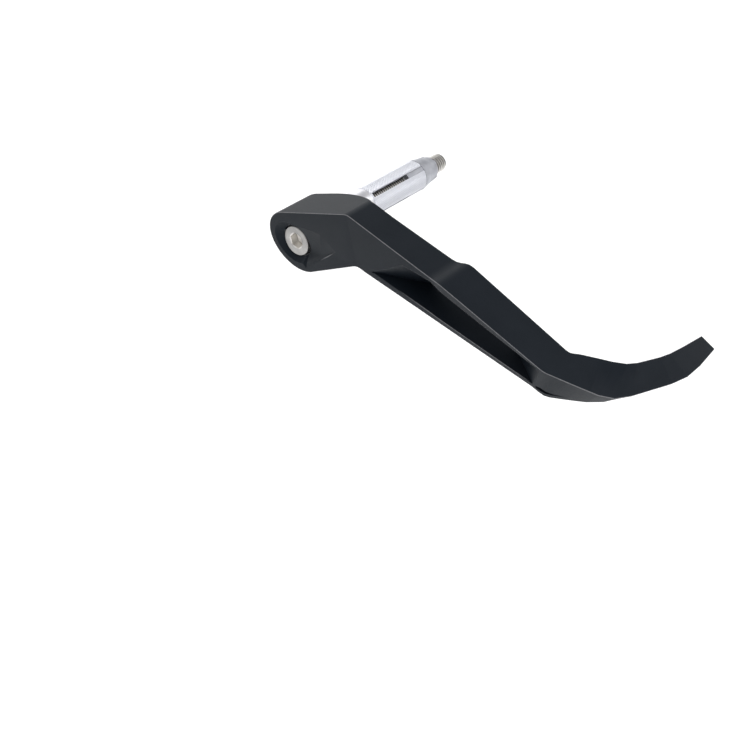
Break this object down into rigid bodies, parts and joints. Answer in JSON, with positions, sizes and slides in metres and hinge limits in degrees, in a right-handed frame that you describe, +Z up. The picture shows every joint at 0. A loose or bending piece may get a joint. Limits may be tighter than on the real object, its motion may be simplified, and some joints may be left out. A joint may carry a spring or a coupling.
{
  "type": "brake lever guard",
  "caption": "Angled motorcycle brake lever guard with a stepped blade, a side window and a hooked tip, held in the handlebar end by a screw that spreads a slotted sleeve.",
  "frame": {"origin": "centre of the collar's face that rests on the end of the handlebar, on the clamp screw's axis", "axes": "+X along the clamp screw, out of the handlebar; +Y forwards along the guard; +Z up"},
  "size_m": [0.102, 0.166, 0.0511],
  "materials": {
    "guard": "matte black moulded plastic with a fine grain",
    "screw": "stainless steel, turned face",
    "sleeve": "bright turned aluminium, knurled along its middle",
    "nut": "bright turned aluminium"
  },
  "bodies": {
    "root": {"guard": "guard", "clamp_screw": "screw", "expander_sleeve": "sleeve", "cone_nut": "nut"}
  },
  "joints": []
}
